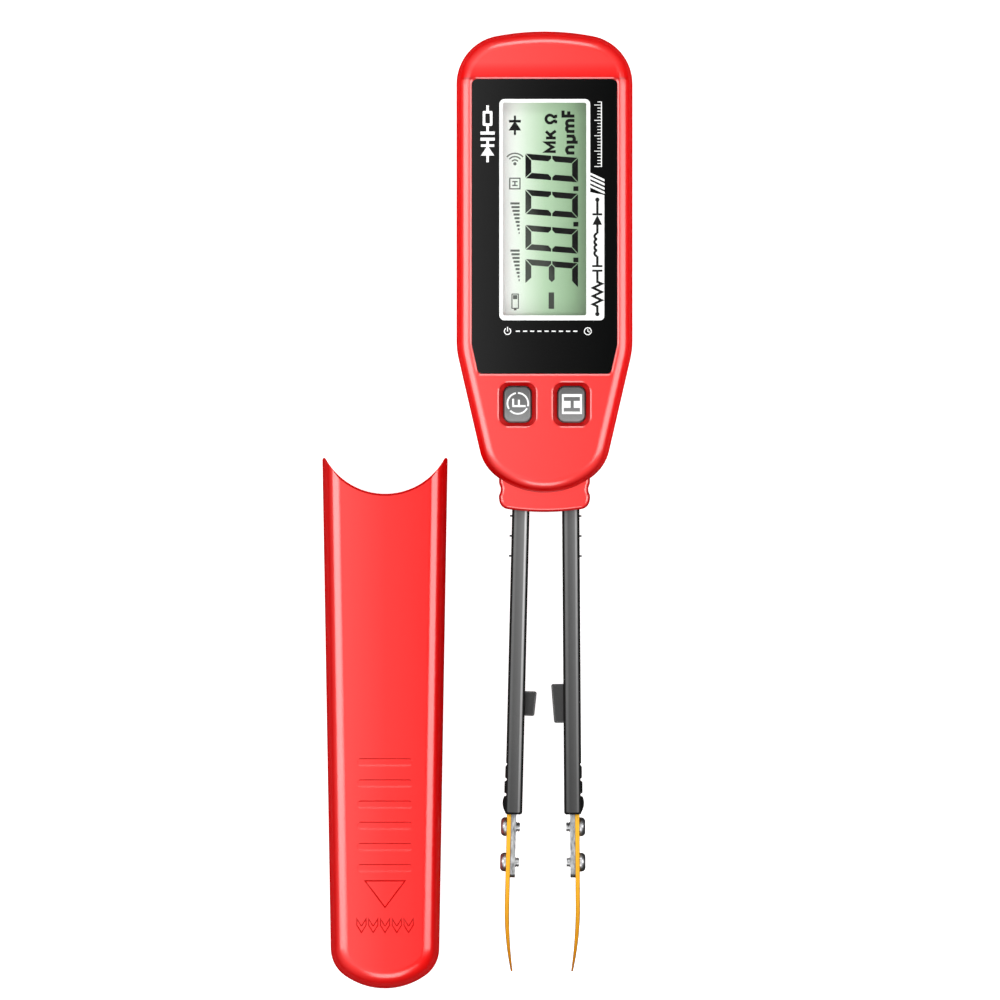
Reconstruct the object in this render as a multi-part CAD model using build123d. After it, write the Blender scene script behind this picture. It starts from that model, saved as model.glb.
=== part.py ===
"""Component tester: tweezer-type tester for small chip parts, with its slip-on cap laid beside it.

Millimetres. The tester lies on its back: +Z out of the display, +Y to the display end, and the
origin on the flat back, halfway along the case.
"""
from build123d import *
import math
import os

os.makedirs("parts", exist_ok=True)

# Case
CASE_HALF = 17.16
CASE_END = 45.0
CASE_THICK = 18.0
TOP_RADIUS = 50.0
BEND_Y = -17.1
TAPER_HALF = 12.1
TAPER_Y = -39.0
WALL = 1.8
ROOF_Z = 16.2
PARTING_Z = 9.0
PARTING_GROOVE = 0.3
FRONT_ROUND = 2.6
BACK_ROUND = 2.4

# Display
PANEL_HALF = 14.14
PANEL_TOP = 35.7
PANEL_BOTTOM = -21.7
PANEL_Z = (17.15, 17.95)
PANEL_RIM = (0.3, 0.12)
WINDOW = (16.3, 41.5)
WINDOW_Y = 10.38
LENS = (18.2, 43.4)
LCD = (18.6, 44.0)
LCD_Z = (12.6, 15.2)

# Buttons
KEY_X = 5.27
KEY_Y = -27.7
KEY = (5.2, 6.8)
KEY_HOLE = (5.6, 7.2)
KEY_POCKET = (7.3, 8.6)
KEY_POCKET_DEPTH = 0.9
KEY_TOP = 17.9
KEY_TRAVEL = 0.5

# Board
BOARD_Z = (9.0, 10.6)
BOARD_SCREWS = [(-13.4, 22.0), (13.4, 22.0), (-13.4, -6.0), (13.4, -6.0)]
CASE_SCREWS = [(-13.6, 36.2), (13.6, 36.2), (-9.0, -34.8), (9.0, -34.8)]

# Battery
CELL_Y = 24.0
CELL_R = 10.0
CELL_Z = (2.3, 5.5)
DOOR_HALF = 10.4
DOOR_Y = 8.0
DOOR_THICK = 2.0
TONGUE_HALF = 11.2
LABEL = (20.0, 16.0)
LABEL_Y = -12.0

# Nose
NOSE_HALF = 8.87
NOSE_Z = (2.0, 16.0)
NOSE_TOP = -40.5
NOSE_END = -48.7
NOSE_ROUND = 0.8

# Tweezer arms, in an arm's own frame: +X outward, -Y to the tip, pivot at the origin
PIVOT_Y = -42.0
LEFT_ROOT = -4.46
LEFT_LEAN = 1.38
RIGHT_ROOT = 5.07
RIGHT_LEAN = 0.40
ARM_HALF = 1.7
ARM_Z = (4.5, 13.5)
ARM_TOP = -2.5
ARM_END = -65.7
INLAY_HALF = 1.25
INLAY_DEPTH = 0.6
BLADE_X = (0.4, 1.3)
STRIP_X = (-0.57, 0.4)
BLADE_HALF = 2.0
SOCKETED = -55.0
BEND_START = -83.3
TIP_END = -96.3
STRIP_END = -78.0
TIP_SCREWS = [-68.1, -75.0]
GUIDE_Y = -44.0

# Cap
CAP_X = -31.1
CAP_TOP_HALF = 12.26
CAP_END_HALF = 10.64
CAP_TAPER = (-36.0, -131.0)
CAP_END = -141.6
CAP_END_R = 13.55
CAP_CORNER = 6.5
MOUTH_R = 13.2
MOUTH_Y = -45.15
MOUTH_RIM = 0.4
CAP_WALL = 1.8
CAP_END_WALL = 1.1
CAP_INNER_HALF = 9.1
GRIP_FIRST = -97.5
GRIP_PITCH = 4.13
GRIP_DEPTH = 0.3
GRIP_RAMP = 0.35
MARK_Y = -129.2


def save(name, shape):
    export_step(shape, f"parts/{name}.step")


def box(x, y, z):
    """Box from its low and high limits along each axis."""
    size = (x[1] - x[0], y[1] - y[0], z[1] - z[0])
    return Pos(x[0], y[0], z[0]) * Box(*size, align=(Align.MIN, Align.MIN, Align.MIN))


def rod(x, y, z, radius):
    """Round bar along Z."""
    bottom = (Align.CENTER, Align.CENTER, Align.MIN)
    return Pos(x, y, z[0]) * Cylinder(radius, z[1] - z[0], align=bottom)


def cross_rod(x, y, z, radius):
    """Round bar along X."""
    start = (Align.CENTER, Align.CENTER, Align.MIN)
    return Pos(x[0], y, z) * Rot(0, 90, 0) * Cylinder(radius, x[1] - x[0], align=start)


def slab(face, z):
    return Pos(0, 0, z[0]) * extrude(face, z[1] - z[0])


def rounded(size, radius, z, x=0.0, y=0.0):
    return slab(Pos(x, y) * RectangleRounded(size[0], size[1], radius), z)


def top_edges(shape):
    return shape.faces().sort_by(Axis.Z)[-1].edges()


def bottom_edges(shape):
    return shape.faces().sort_by(Axis.Z)[0].edges()


def case_outline():
    corner_y = CASE_END - TOP_RADIUS + math.sqrt(TOP_RADIUS**2 - CASE_HALF**2)
    right = Polyline((CASE_HALF, corner_y), (CASE_HALF, BEND_Y), (TAPER_HALF, TAPER_Y))
    bottom = ThreePointArc((TAPER_HALF, TAPER_Y), (0, -CASE_END), (-TAPER_HALF, TAPER_Y))
    left = Polyline((-TAPER_HALF, TAPER_Y), (-CASE_HALF, BEND_Y), (-CASE_HALF, corner_y))
    top = ThreePointArc((-CASE_HALF, corner_y), (0, CASE_END), (CASE_HALF, corner_y))
    face = make_face(right + bottom + left + top)
    face = fillet(face.vertices().filter_by(lambda v: v.Y > 30), 9.5)
    face = fillet(face.vertices().filter_by(lambda v: abs(v.Y - BEND_Y) < 0.01), 15.0)
    return fillet(face.vertices().filter_by(lambda v: abs(v.Y - TAPER_Y) < 0.01), 8.6)


OUTLINE = case_outline()
INNER = offset(OUTLINE, -WALL)


def whole_case():
    """The closed outside shape of both shells."""
    solid = slab(OUTLINE, (0, CASE_THICK))
    solid = fillet(top_edges(solid), FRONT_ROUND)
    return fillet(bottom_edges(solid), BACK_ROUND)


CASE = whole_case()


def nose_opening():
    neck = box((-NOSE_HALF - 0.03, NOSE_HALF + 0.03), (-50, -40.3), (NOSE_Z[0] - 0.03, NOSE_Z[1] + 0.03))
    flange = box((-7.05, 7.05), (-41.75, -40.3), (1.15, 16.85))
    return neck + flange


def panel_outline(gap):
    points = [
        (PANEL_HALF + gap, PANEL_TOP + gap),
        (PANEL_HALF + gap, -16.0),
        (PANEL_HALF - 1.3 + gap, PANEL_BOTTOM - gap),
        (-PANEL_HALF + 1.3 - gap, PANEL_BOTTOM - gap),
        (-PANEL_HALF - gap, -16.0),
        (-PANEL_HALF - gap, PANEL_TOP + gap),
    ]
    face = make_face(Polyline(*points, close=True))
    face = fillet(face.vertices().filter_by(lambda v: v.Y > 0), 1.2)
    return fillet(face.vertices().filter_by(lambda v: v.Y < -20), 0.9)


def front_case():
    shell = CASE & box((-30, 30), (-60, 60), (PARTING_Z, 20))
    shell -= slab(INNER, (PARTING_Z, ROOF_Z))
    for x, y in CASE_SCREWS:
        shell += rod(x, y, (PARTING_Z, ROOF_Z), 2.2)
        shell -= rod(x, y, (PARTING_Z, 15.0), 1.02)
    for x, y in BOARD_SCREWS:
        shell += rod(x, y, (BOARD_Z[1], ROOF_Z), 1.8)
        shell -= rod(x, y, (BOARD_Z[1], 15.0), 0.82)
    shell -= slab(panel_outline(0.1), (PANEL_Z[0], CASE_THICK))
    rim_foot = Pos(0, 0, CASE_THICK - PANEL_RIM[1]) * panel_outline(0.1)
    rim_top = Pos(0, 0, CASE_THICK) * panel_outline(0.1 + PANEL_RIM[0])
    shell -= loft([rim_foot, rim_top])
    shell -= rounded((LENS[0] + 0.2, LENS[1] + 0.2), 0.6, (14, 18), y=WINDOW_Y)
    for x in (-KEY_X, KEY_X):
        rim = Pos(x, KEY_Y, CASE_THICK) * RectangleRounded(KEY_POCKET[0] + 0.5, KEY_POCKET[1] + 0.5, 2.15)
        mouth = Pos(x, KEY_Y, CASE_THICK - 0.1) * RectangleRounded(*KEY_POCKET, 1.9)
        throat = Pos(x, KEY_Y, CASE_THICK - KEY_POCKET_DEPTH) * RectangleRounded(*KEY_HOLE, 1.45)
        shell -= loft([throat, mouth])
        shell -= loft([mouth, rim])
        shell -= rounded(KEY_HOLE, 1.45, (15, 18), x=x, y=KEY_Y)
    return shell - nose_opening()


def door_space(gap):
    """Sliding door with its side tongues, grown by a running gap."""
    plate = box((-DOOR_HALF - gap, DOOR_HALF + gap), (DOOR_Y - gap, 60), (-1, DOOR_THICK + gap))
    tongue = box((-TONGUE_HALF - gap, TONGUE_HALF + gap), (DOOR_Y + 1 - gap, 60), (1.05 - gap, 1.8 + gap))
    return plate + tongue


def back_case():
    shell = CASE & box((-30, 30), (-60, 60), (-1, PARTING_Z))
    shell -= slab(INNER, (WALL, PARTING_Z + 1))
    lip = slab(OUTLINE, (PARTING_Z - PARTING_GROOVE, PARTING_Z))
    shell -= lip - slab(offset(OUTLINE, -0.3), (PARTING_Z - PARTING_GROOVE, PARTING_Z))
    shell += slab(INNER, (WALL, 3.4)) & box((-20, 20), (6.5, 60), (0, 9))
    shell += rod(0, CELL_Y, (2.4, 7.0), 11.8)
    shell -= rod(0, CELL_Y, (0, 6.0), 10.3)
    shell -= door_space(0.15)
    shell -= box((-2.2, 2.2), (CELL_Y + 9.5, CELL_Y + 11.0), (2.3, 8))
    shell -= box((-1.7, 1.7), (CELL_Y - 1.2, CELL_Y + 1.2), (5.9, 8))
    for x, y in CASE_SCREWS:
        shell += rod(x, y, (1.0, PARTING_Z), 2.2) & slab(offset(OUTLINE, -0.6), (0, PARTING_Z))
        shell -= rod(x, y, (-1, 3.0), 1.75)
        shell -= rod(x, y, (2.5, 10), 1.15)
    shell += box((-5, 5), (-39.8, -33.6), (WALL - 0.1, 4.0))
    for y in (-35.2, -38.6):
        shell -= rod(0, y, (2.6, 5), 0.8)
    shell -= rounded((LABEL[0] + 0.4, LABEL[1] + 0.4), 1.2, (-1, 0.35), y=LABEL_Y)
    return shell - nose_opening()


def battery_door():
    door = CASE & door_space(0.0)
    for k in range(4):
        door -= cross_rod((-5, 5), 14.0 + 1.8 * k, -0.15, 0.55)
    return door


def nose_collar():
    neck = [(NOSE_HALF, NOSE_TOP), (NOSE_HALF, -43.1), (8.4, -44.3), (8.95, -45.6), (8.6, -47.9)]
    right = Polyline(*neck)
    left = Polyline(*[(-x, y) for x, y in neck])
    end = ThreePointArc((8.6, -47.9), (0, NOSE_END), (-8.6, -47.9))
    face = make_face(right + left + end + Line((-NOSE_HALF, NOSE_TOP), (NOSE_HALF, NOSE_TOP)))
    face = fillet(face.vertices().filter_by(lambda v: -46 < v.Y < -43), 1.6)
    face = fillet(face.vertices().filter_by(lambda v: v.Y < -47), 1.9)
    body = slab(face, NOSE_Z)
    body = fillet(top_edges(body).filter_by(lambda e: e.center().Y < NOSE_TOP - 0.1), NOSE_ROUND)
    body = fillet(bottom_edges(body).filter_by(lambda e: e.center().Y < NOSE_TOP - 0.1), NOSE_ROUND)
    body += box((-7, 7), (-41.7, NOSE_TOP), (1.2, 16.8))
    body -= box((-6.7, -2.2), (-50, -40), (4.2, 13.8))
    body -= box((2.75, 7.2), (-50, -40), (4.2, 13.8))
    return body


def display_stack():
    panel = slab(panel_outline(0.0), PANEL_Z) - rounded(WINDOW, 0.4, (10, 20), y=WINDOW_Y)
    save("display_panel", panel)
    save("display_lens", rounded(LENS, 0.6, (ROOF_Z, PANEL_Z[0]), y=WINDOW_Y))
    save("lcd_glass", rounded(LCD, 0.3, LCD_Z, y=WINDOW_Y))
    holder = rounded((21.6, 47.0), 1.0, (BOARD_Z[1], 15.9), y=WINDOW_Y)
    holder -= rounded((LCD[0] + 0.2, LCD[1] + 0.2), 0.3, (12.55, 17), y=WINDOW_Y)
    holder -= rounded((LCD[0] - 1.2, LCD[1] - 1.2), 0.3, (9, 17), y=WINDOW_Y)
    save("lcd_holder", holder)
    strips = []
    for x in (-7.4, 7.4):
        strips.append(box((x - 0.8, x + 0.8), (WINDOW_Y - 20, WINDOW_Y + 20), (BOARD_Z[1], LCD_Z[0])))
    save("contact_strips", Compound(children=strips))


def electronics():
    board = slab(offset(OUTLINE, -2.3), BOARD_Z) & box((-20, 20), (-31.9, 60), (0, 20))
    for x, y in CASE_SCREWS:
        board -= rod(x, y, (0, 20), 2.7)
    for x, y in BOARD_SCREWS:
        board -= rod(x, y, (0, 20), 0.82)
    save("circuit_board", board)
    save("processor_chip", box((-4, 4), (-4, 4), (7.6, BOARD_Z[0])))
    crystal = rounded((2.4, 7.2), 1.15, (7.0, BOARD_Z[0]), x=8.5, y=0.5)
    parts = [crystal]
    for x in (-10.5, -7.5):
        for y in (-3, 0, 3):
            parts.append(box((x - 0.8, x + 0.8), (y - 0.5, y + 0.5), (8.2, BOARD_Z[0])))
    save("board_components", Compound(children=parts))
    buzzer = rod(0, -16.5, (5.6, BOARD_Z[0]), 5.5) - rod(0, -16.5, (5.0, 6.0), 1.0)
    save("buzzer", buzzer)
    screws = []
    for x, y in BOARD_SCREWS:
        screw = rod(x, y, (8.0, BOARD_Z[0]), 1.5) + rod(x, y, (8.9, 14.6), 0.8)
        screws.append(cross_slot(screw, x, y, 8.0))
    save("board_screws", Compound(children=screws))


def cross_slot(screw, x, y, z):
    """Cross recess in a head whose open face is at z, facing down."""
    bars = box((x - 0.85, x + 0.85), (y - 0.18, y + 0.18), (z - 0.1, z + 0.5))
    return screw - bars - box((x - 0.18, x + 0.18), (y - 0.85, y + 0.85), (z - 0.1, z + 0.5))


def battery():
    cell = fillet(rod(0, CELL_Y, CELL_Z, CELL_R).edges(), 0.3)
    save("coin_cell", cell)
    edge = CELL_Y + CELL_R
    positive = box((-2, 2), (edge, edge + 0.4), (CELL_Z[0] + 0.3, BOARD_Z[0]))
    positive += box((-2, 2), (edge, edge + 2.0), (BOARD_Z[0] - 0.3, BOARD_Z[0]))
    save("positive_contact", positive)
    leaf = box((-1.5, 1.5), (CELL_Y - 6, CELL_Y + 1.0), (CELL_Z[1], CELL_Z[1] + 0.3))
    leaf += box((-1.5, 1.5), (CELL_Y + 0.7, CELL_Y + 1.0), (CELL_Z[1], BOARD_Z[0]))
    save("negative_contact", leaf)


def case_screws():
    screws = []
    for x, y in CASE_SCREWS:
        screw = rod(x, y, (1.4, 3.0), 1.6) + rod(x, y, (2.9, 14.4), 1.0)
        screws.append(cross_slot(screw, x, y, 1.4))
    save("case_screws", Compound(children=screws))


def keys():
    for name, x in (("function", -KEY_X), ("hold", KEY_X)):
        key = rounded(KEY, 1.3, (14.0, KEY_TOP), x=x, y=KEY_Y)
        key = fillet(top_edges(key), 0.35)
        key += rounded((KEY[0] + 1.6, KEY[1] + 1.4), 1.6, (14.6, 15.9), x=x, y=KEY_Y)
        save(f"{name}_button", key)
        plunger = rod(x, KEY_Y, (12.0, 14.0), 1.0)
        save(f"{name}_plunger", plunger)
        switch = box((x - 2.6, x + 2.6), (KEY_Y - 2.6, KEY_Y + 2.6), (BOARD_Z[1], 13.0))
        save(f"{name}_switch", switch - rod(x, KEY_Y, (11.3, 14), 1.05))


def on_arm(shape, side):
    """Moves a piece from the arm's own frame to the left or the right arm."""
    if side == "left":
        return Pos(LEFT_ROOT, PIVOT_Y, 0) * Rot(0, 0, -LEFT_LEAN) * mirror(shape, about=Plane.YZ)
    return Pos(RIGHT_ROOT, PIVOT_Y, 0) * Rot(0, 0, RIGHT_LEAN) * shape


def flat_spring():
    return box((-0.25, 0.25), (-12, 5), (6, 12))


def sleeve(side):
    body = box((-ARM_HALF, ARM_HALF), (ARM_END, ARM_TOP), ARM_Z)
    ends = body.edges().filter_by(Axis.Z).filter_by(lambda e: e.center().Y < -60)
    body = fillet(ends, 0.5)
    body = fillet(body.edges().filter_by(Axis.Y), 0.3)
    for y in (-7.5, -11.4, -15.3):
        body += box((ARM_HALF - 0.2, ARM_HALF + 0.4), (y - 0.17, y + 0.17), (5.2, 12.8))
    for y, bulge in ((-57.45, 0.12), (-60.4, 0.22)):
        pad = Pos(ARM_HALF - 0.5 + bulge, y) * Rectangle(1.0, 2.5)
        pad = fillet(pad.vertices().filter_by(lambda v: v.X > ARM_HALF), 0.3)
        body += slab(pad, (5.2, 12.8))
    stub = Line((ARM_HALF - 0.2, -62.1), (ARM_HALF + 0.2, -62.1))
    swell = ThreePointArc((ARM_HALF + 0.2, -62.1), (ARM_HALF + 0.5, -63.3), (ARM_HALF - 0.2, -65.5))
    thumb_pad = make_face(stub + swell + Line((ARM_HALF - 0.2, -65.5), (ARM_HALF - 0.2, -62.1)))
    body += slab(thumb_pad, (5.2, 12.8))
    for y in (-55.9, -58.9, -61.85):
        body -= rod(ARM_HALF + 0.12, y, (4, 14), 0.3)
    for z in ((ARM_Z[1] - INLAY_DEPTH, ARM_Z[1]), (ARM_Z[0], ARM_Z[0] + INLAY_DEPTH)):
        body -= inlay(z)
    body -= flat_spring()
    body -= box((STRIP_X[0], BLADE_X[1]), (ARM_END - 1, SOCKETED), (9 - BLADE_HALF, 9 + BLADE_HALF))
    if side == "right":
        body -= box((-ARM_HALF, -ARM_HALF + 0.8), (GUIDE_Y - 3.0, GUIDE_Y + 3.0), (6.0, 12.0))
    return body


def inlay(z):
    return rounded((2 * INLAY_HALF, 59.8), 0.3, z, y=-35.4)


def probe_tip():
    outer = TangentArc((BLADE_X[1], BEND_START), (-0.2, TIP_END), tangent=(0, -1))
    inner = TangentArc((BLADE_X[0], BEND_START), (-0.57, TIP_END), tangent=(0, -1))
    corners = [(BLADE_X[1], SOCKETED), (BLADE_X[0], SOCKETED)]
    upper = Polyline((BLADE_X[1], BEND_START), *corners, (BLADE_X[0], BEND_START))
    face = make_face(upper + outer + inner + Line((-0.2, TIP_END), (-0.57, TIP_END)))
    blade = slab(face, (9 - BLADE_HALF, 9 + BLADE_HALF))
    side = Polyline(
        (SOCKETED + 1, 9 + BLADE_HALF),
        (-79, 9 + BLADE_HALF),
        (-88, 9 + 0.95),
        (TIP_END, 9 + 0.4),
        (TIP_END, 9 - 0.4),
        (-88, 9 - 0.95),
        (-79, 9 - BLADE_HALF),
        (SOCKETED + 1, 9 - BLADE_HALF),
        close=True,
    )
    blade &= extrude(Plane.YZ * make_face(side), 4, both=True)
    blade = fillet(blade.edges().filter_by(lambda e: e.length > 5), 0.15)
    for y in TIP_SCREWS:
        blade -= cross_rod((-3, 3), y, 9, 0.95)
    return blade


def steel_strip():
    strip = box(STRIP_X, (STRIP_END, SOCKETED), (9 - BLADE_HALF, 9 + BLADE_HALF))
    strip = fillet(strip.edges().filter_by(Axis.X).filter_by(lambda e: e.center().Y < -77), 1.2)
    for y in TIP_SCREWS:
        strip -= cross_rod((-3, 3), y, 9, 0.95)
    return strip


def tip_screws():
    screws = []
    for y in TIP_SCREWS:
        head = cross_rod((BLADE_X[1], BLADE_X[1] + 1.1), y, 9, 1.85)
        head = fillet(head.edges().sort_by(Axis.X)[-1], 0.8)
        head -= box((2.0, 3.0), (y - 0.2, y + 0.2), (8, 10))
        head -= box((2.0, 3.0), (y - 1.0, y + 1.0), (8.8, 9.2))
        shank = cross_rod((STRIP_X[0] - 0.75, BLADE_X[1]), y, 9, 0.95)
        for x in (STRIP_X[0] - 0.28, STRIP_X[0] - 0.6):
            shank -= cross_rod((x - 0.08, x + 0.08), y, 9, 1.2) - cross_rod((x - 0.1, x + 0.1), y, 9, 0.78)
        screws.append(head + shank)
    return Compound(children=screws)


def guide_tongue():
    face = Polyline((-1.7, -41.6), (-3.97, -41.6), (-3.57, -46.4), (-1.7, -46.4), close=True)
    tongue = slab(make_face(face), (6.5, 11.5))
    tongue = fillet(tongue.edges().filter_by(lambda e: e.center().X < -3).filter_by(Axis.Z), 0.4)
    return fillet(top_edges(tongue).filter_by(lambda e: e.center().X < -1.8), 0.3)


def guide_socket():
    face = Polyline((-1.7, -40.2), (-4.08, -40.2), (-3.53, -47.8), (-1.7, -47.8), close=True)
    socket = slab(make_face(face), (5.0, 13.0))
    socket = fillet(socket.edges().filter_by(lambda e: e.center().X < -3).filter_by(Axis.Z), 0.4)
    socket = fillet(top_edges(socket).filter_by(lambda e: e.center().X < -1.8), 0.3)
    return socket - box((-6, -1.7), (GUIDE_Y - 3.0, GUIDE_Y + 3.0), (6.0, 12.0))


def arms():
    holder = box((-6.5, 6.5), (-40.2, -33.3), (4.0, 14.0))
    for side in ("left", "right"):
        save(f"{side}_flat_spring", on_arm(flat_spring(), side))
        save(f"{side}_arm_sleeve", on_arm(sleeve(side), side))
        save(f"{side}_front_inlay", on_arm(inlay((ARM_Z[1] - INLAY_DEPTH, ARM_Z[1])), side))
        save(f"{side}_back_inlay", on_arm(inlay((ARM_Z[0], ARM_Z[0] + INLAY_DEPTH)), side))
        save(f"{side}_probe_tip", on_arm(probe_tip(), side))
        save(f"{side}_steel_strip", on_arm(steel_strip(), side))
        save(f"{side}_tip_screws", on_arm(tip_screws(), side))
        holder -= on_arm(flat_spring(), side)
    save("left_guide_tongue", on_arm(guide_tongue(), "left"))
    save("right_guide_socket", on_arm(guide_socket(), "right"))
    screws = []
    for y in (-35.2, -38.6):
        holder -= rod(0, y, (3, 15), 0.82)
        screws.append(rod(0, y, (14.0, 15.0), 1.5) + rod(0, y, (2.7, 14.1), 0.8))
    save("spring_holder", holder)
    save("holder_screws", Compound(children=screws))


def cap_outline():
    slope = (CAP_TOP_HALF - CAP_END_HALF) / (CAP_TAPER[0] - CAP_TAPER[1])
    low_half = CAP_END_HALF - 0.09
    low_y = CAP_END + CAP_END_R - math.sqrt(CAP_END_R**2 - low_half**2)
    top_half = CAP_TOP_HALF + slope * 1.0
    right = Line((top_half, -35.0), (low_half, low_y))
    left = Line((-top_half, -35.0), (-low_half, low_y))
    end = ThreePointArc((low_half, low_y), (0, CAP_END), (-low_half, low_y))
    face = make_face(right + left + end + Line((-top_half, -35.0), (top_half, -35.0)))
    return fillet(face.vertices().filter_by(lambda v: v.Y < -100), CAP_CORNER)


def scoop(top_y, bottom_y, depth):
    """Cut across the cap: a steep drop at its top edge, a gently rising floor and a short ramp out."""
    section = Polyline(
        (top_y, CASE_THICK + 0.5),
        (top_y, CASE_THICK),
        (top_y - 0.7 * depth, CASE_THICK - depth),
        (bottom_y + GRIP_RAMP, CASE_THICK - 0.4 * depth),
        (bottom_y, CASE_THICK - 0.02),
        (bottom_y, CASE_THICK + 0.5),
        close=True,
    )
    return extrude(Plane.YZ * make_face(section), 8, both=True)


def recess(face, depth, run):
    """Cut in the cap's top face, with walls that slope inward by the run."""
    lip = Pos(0, 0, CASE_THICK) * face
    return loft([Pos(0, 0, CASE_THICK - depth) * offset(face, -run), lip])


def protective_cap():
    solid = slab(cap_outline(), (0, CASE_THICK))
    long_edges = top_edges(solid).filter_by(lambda e: e.center().Y < -36)
    solid = fillet(long_edges, 3.4)
    long_edges = bottom_edges(solid).filter_by(lambda e: e.center().Y < -36)
    solid = fillet(long_edges, 2.4)
    plan = cap_outline() - Pos(0, MOUTH_Y + MOUTH_R) * Circle(MOUTH_R)
    plan = fillet(plan.vertices().filter_by(lambda v: v.Y > -38), 0.35)
    solid &= slab(plan, (0, CASE_THICK))
    rim_cone = Cone(MOUTH_R, MOUTH_R + MOUTH_RIM, MOUTH_RIM, align=(Align.CENTER, Align.CENTER, Align.MIN))
    solid -= Pos(0, MOUTH_Y + MOUTH_R, CASE_THICK - MOUTH_RIM) * rim_cone
    cavity = offset(cap_outline(), -CAP_END_WALL) & Pos(0, -90) * Rectangle(2 * CAP_INNER_HALF, 120.0)
    solid -= slab(cavity, (CAP_WALL, CASE_THICK - CAP_WALL))
    for x in (-9.25, 9.25):
        solid += rod(x, -44.3, (4, 14), 0.6)
    for k in range(6):
        y = GRIP_FIRST - GRIP_PITCH * k
        solid -= scoop(y + 0.8, y - 0.8, GRIP_DEPTH) & slab(Pos(0, y) * SlotOverall(10.9, 1.6), (17, 19))
    arrow = Polyline((-4.15, -120.5), (4.15, -120.5), (0, -126.0), close=True)
    solid -= recess(make_face(arrow), 0.3, 0.25)
    for k in range(5):
        x = 2.3 * (k - 2)
        upper = [(x - 1.0, MARK_Y + 1.5), (x, MARK_Y - 0.1), (x + 1.0, MARK_Y + 1.5)]
        lower = [(x + 1.0, MARK_Y - 0.1), (x, MARK_Y - 1.7), (x - 1.0, MARK_Y - 0.1)]
        solid -= recess(make_face(Polyline(*upper, *lower, close=True)), 0.22, 0.2)
    return Pos(CAP_X, 0, 0) * solid


save("front_case", front_case())
save("back_case", back_case())
save("nose_collar", nose_collar())
save("battery_door", battery_door())
save("back_label", rounded(LABEL, 1.0, (0.1, 0.35), y=LABEL_Y))
display_stack()
electronics()
battery()
case_screws()
keys()
arms()
save("protective_cap", protective_cap())
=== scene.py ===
"""Looks of a tweezer-type component tester: red case, printed panel, display, keys, arms, tips and cap."""

import math

import bmesh
import bpy
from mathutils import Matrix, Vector
from mathutils.geometry import tessellate_polygon


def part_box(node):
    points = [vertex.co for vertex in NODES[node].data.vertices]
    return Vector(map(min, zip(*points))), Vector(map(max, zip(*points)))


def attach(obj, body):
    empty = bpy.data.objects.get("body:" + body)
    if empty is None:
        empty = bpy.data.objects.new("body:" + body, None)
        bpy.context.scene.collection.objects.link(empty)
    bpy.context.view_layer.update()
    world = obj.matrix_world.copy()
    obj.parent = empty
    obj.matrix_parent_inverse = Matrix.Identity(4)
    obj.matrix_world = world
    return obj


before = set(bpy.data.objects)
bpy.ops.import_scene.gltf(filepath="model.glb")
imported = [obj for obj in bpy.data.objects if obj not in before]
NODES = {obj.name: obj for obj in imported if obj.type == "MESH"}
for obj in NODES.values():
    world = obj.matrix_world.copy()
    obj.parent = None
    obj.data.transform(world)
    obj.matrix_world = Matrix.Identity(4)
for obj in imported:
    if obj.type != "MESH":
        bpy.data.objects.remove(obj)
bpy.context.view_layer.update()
MM = 0.001

# Heights in mm of the faces that carry ink
PANEL_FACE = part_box("display_panel")[1][2] / MM
KEY_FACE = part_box("function_button")[1][2] / MM
LCD_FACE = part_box("lcd_glass")[1][2] / MM
LABEL_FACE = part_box("back_label")[0][2] / MM
INK = 0.015
INK_STEP = 0.0004

# Arms: root and lean in degrees, as the tester lies at rest
LEFT_ARM = (-4.46, -42.0, -1.38)
RIGHT_ARM = (5.07, -42.0, 0.40)
INLAY_HALF = 1.25


# Node helpers

def linear(hex_colour):
    """sRGB hex value to the linear colour that the shaders take."""
    channels = [int(hex_colour[i:i + 2], 16) / 255 for i in (1, 3, 5)]
    return [c / 12.92 if c <= 0.04045 else ((c + 0.055) / 1.055) ** 2.4 for c in channels] + [1.0]


def add(tree, kind, settings=None, links=None):
    """Adds a node with its settings, its ramp stops if it has any, and its links by socket name or number."""
    node = tree.nodes.new(kind)
    for key, value in (settings or {}).items():
        if key == "stops":
            ramp = node.color_ramp
            while len(ramp.elements) < len(value):
                ramp.elements.new(0.5)
            for element, (position, colour) in zip(ramp.elements, value):
                element.position = position
                element.color = linear(colour)
        elif isinstance(key, int) or key in node.inputs:
            node.inputs[key].default_value = value
        else:
            setattr(node, key, value)
    for key, source in (links or {}).items():
        tree.links.new(source, node.inputs[key])
    return node


def finish_of(name, **values):
    """New material with its Principled shader set up, as (material, tree, shader)."""
    material = bpy.data.materials.new(name)
    material.use_nodes = True
    tree = material.node_tree
    shader = tree.nodes["Principled BSDF"]
    for key, value in values.items():
        shader.inputs[key.replace("_", " ")].default_value = value
    return material, tree, shader


def across(tree, low, high, direction=(1, 0, 0)):
    """0 to 1 between two places in mm along a direction of the object's own frame."""
    place = add(tree, "ShaderNodeTexCoord").outputs["Object"]
    run = add(tree, "ShaderNodeVectorMath", {"operation": "DOT_PRODUCT", 1: direction}, {0: place})
    limits = {"From Min": low * MM, "From Max": high * MM}
    return add(tree, "ShaderNodeMapRange", limits, {"Value": run.outputs["Value"]}).outputs["Result"]


def upright_share(tree, low, high):
    """0 on walls to 1 on faces that look straight up; no joint tilts a piece, so this holds at every pose."""
    surface = add(tree, "ShaderNodeNewGeometry").outputs["Normal"]
    lie = add(tree, "ShaderNodeSeparateXYZ", links={"Vector": surface}).outputs["Z"]
    limits = {"From Min": low, "From Max": high}
    return add(tree, "ShaderNodeMapRange", limits, {"Value": lie}).outputs["Result"]


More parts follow.
